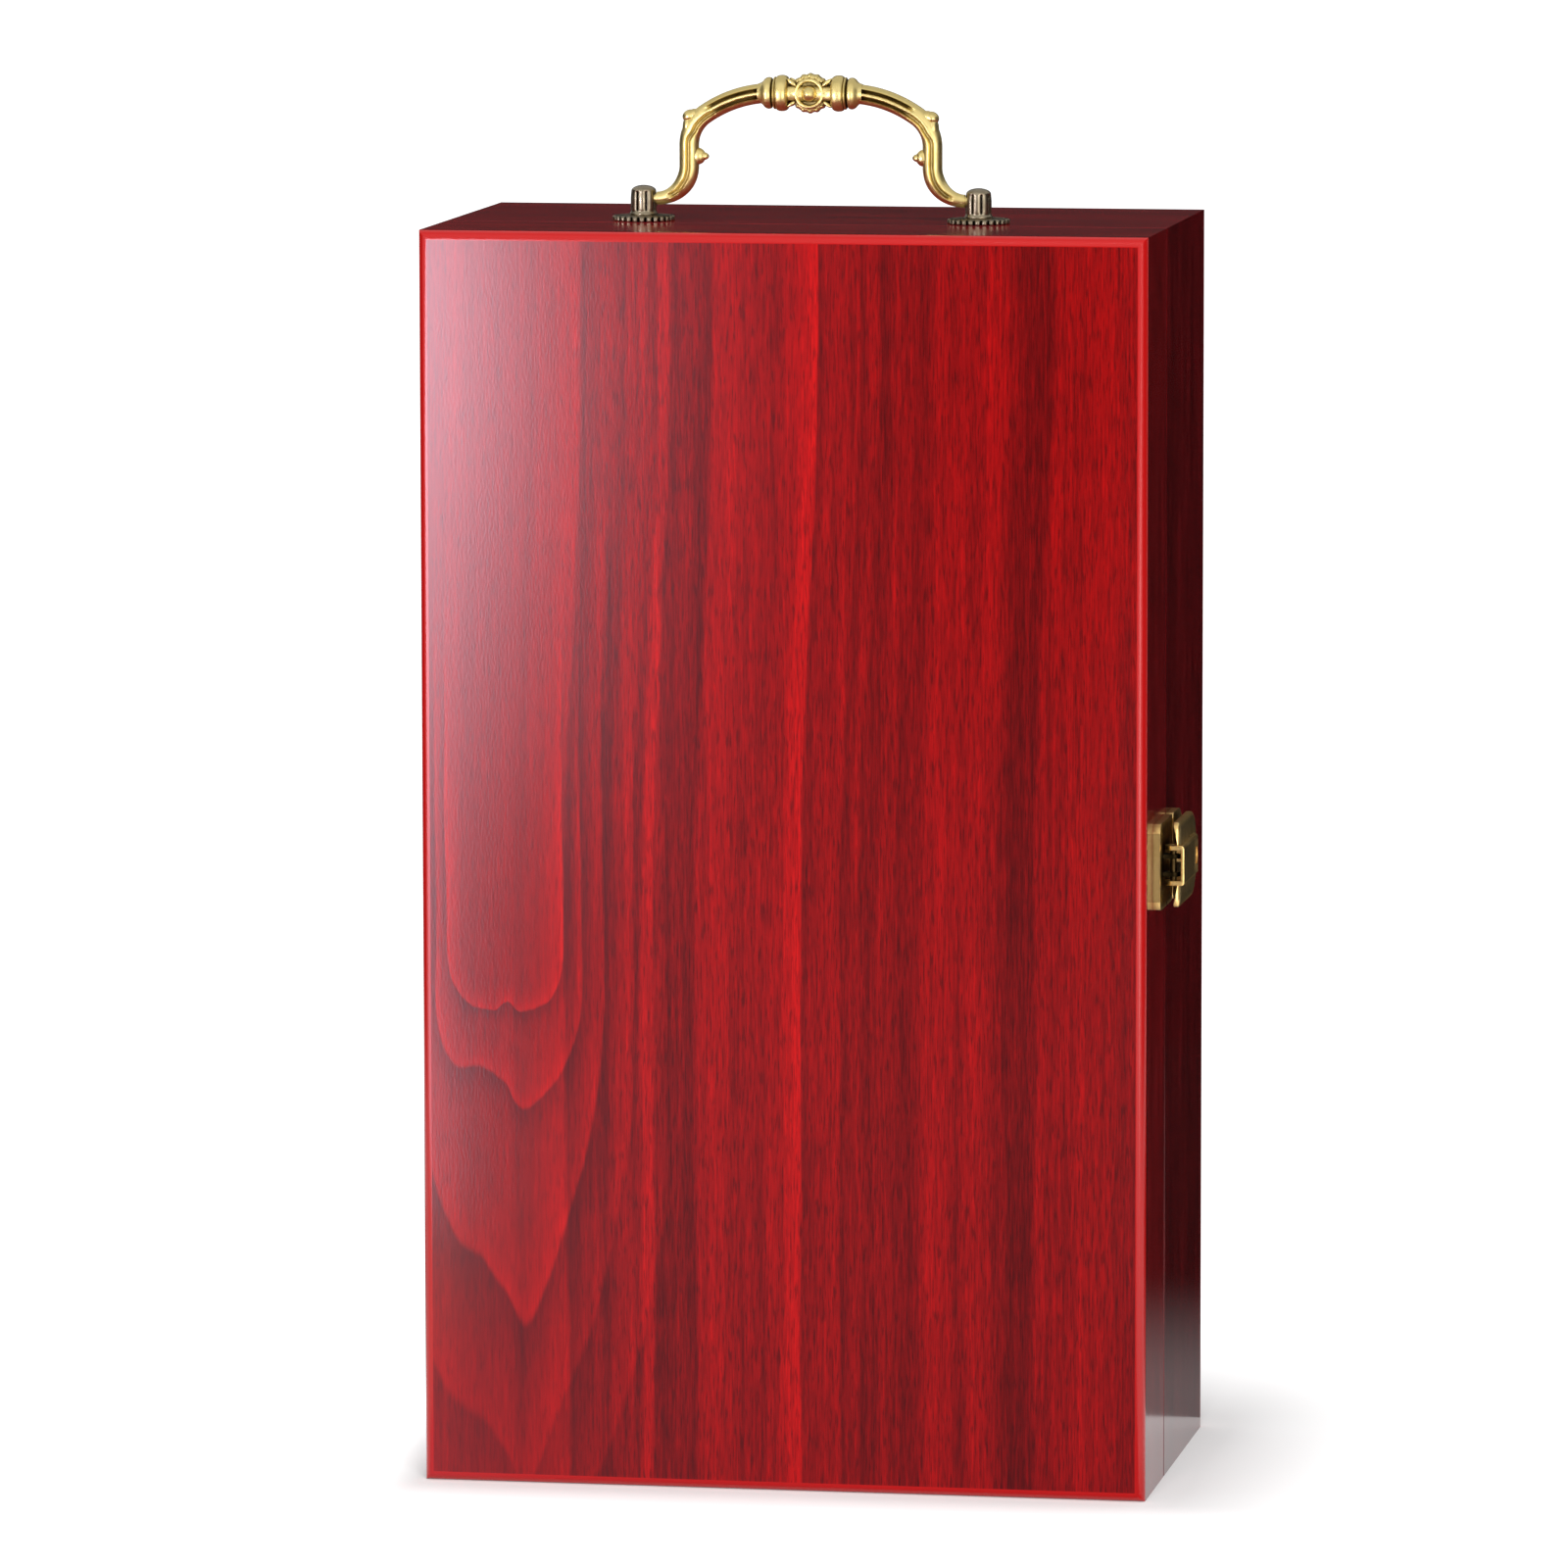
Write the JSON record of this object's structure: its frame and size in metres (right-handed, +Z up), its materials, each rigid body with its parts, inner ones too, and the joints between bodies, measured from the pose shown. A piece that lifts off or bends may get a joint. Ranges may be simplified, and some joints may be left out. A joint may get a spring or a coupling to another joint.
{
  "type": "wine box",
  "caption": "Upright wooden case for wine bottles with a hinged front lid, velvet lined bays with neck rests, a side latch and a swing handle on top.",
  "frame": {"origin": "middle of the closed box's footprint, on the surface it stands on", "axes": "+Z up, +X towards the latch side, -Y towards the lid, which hinges on the -X side"},
  "size_m": [0.2185, 0.12, 0.3972],
  "materials": {
    "panel_veneer": "rosewood veneer under red high gloss lacquer",
    "side_veneer": "dark rosewood veneer under high gloss lacquer",
    "velvet": "short pile velvet over board",
    "hinge_brass": "antique brass plating",
    "latch_brass": "antique brass plating, polished edges",
    "bail_brass": "cast and gilded, dark in the grooves",
    "post_bronze": "antique nickel bronze plating",
    "nut_steel": "zinc plated"
  },
  "bodies": {
    "case": {"back_panel": "panel_veneer", "case_board_top": "side_veneer", "case_board_bottom": "side_veneer", "case_board_left": "side_veneer", "case_board_right": "side_veneer", "liner_back": "velvet", "liner_top": "velvet", "liner_bottom": "velvet", "liner_left": "velvet", "liner_right": "velvet", "bottle_divider": "velvet", "neck_rest_left": "velvet", "neck_rest_right": "velvet", "heel_rest_left": "velvet", "heel_rest_right": "velvet", "hinge_case_leaf_upper": "hinge_brass", "hinge_case_leaf_lower": "hinge_brass", "hinge_pin_upper": "hinge_brass", "hinge_pin_lower": "hinge_brass", "hinge_case_screws": "hinge_brass", "latch_case_plate": "latch_brass", "latch_case_screws": "latch_brass", "handle_rose_left": "post_bronze", "handle_rose_right": "post_bronze", "handle_post_left": "post_bronze", "handle_post_right": "post_bronze", "handle_nuts": "nut_steel"},
    "lid": {"lid_panel": "panel_veneer", "lid_rail_top": "side_veneer", "lid_rail_bottom": "side_veneer", "lid_rail_left": "side_veneer", "lid_rail_right": "side_veneer", "lid_liner": "velvet", "hinge_lid_leaf_upper": "hinge_brass", "hinge_lid_leaf_lower": "hinge_brass", "hinge_lid_screws": "hinge_brass", "latch_lid_plate": "latch_brass", "latch_pin": "latch_brass", "latch_lid_screws": "latch_brass"},
    "hasp": {"latch_hasp": "latch_brass"},
    "handle": {"handle_bail": "bail_brass"}
  },
  "joints": [
    {"name": "lid_hinge", "type": "hinge", "parent": "case", "child": "lid", "pos_m": [-0.1053, -0.02, 0.1775], "axis": [0, 0, -1], "range_deg": [0, 180]},
    {"name": "handle_swing", "type": "hinge", "parent": "case", "child": "handle", "pos_m": [0, -0.01, 0.3613], "axis": [1, 0, 0], "range_deg": [-90, 90]},
    {"name": "hasp_swing", "type": "hinge", "parent": "lid", "child": "hasp", "pos_m": [0.1078, -0.038, 0.1777], "axis": [0, 0, -1], "range_deg": [0, 95]}
  ]
}
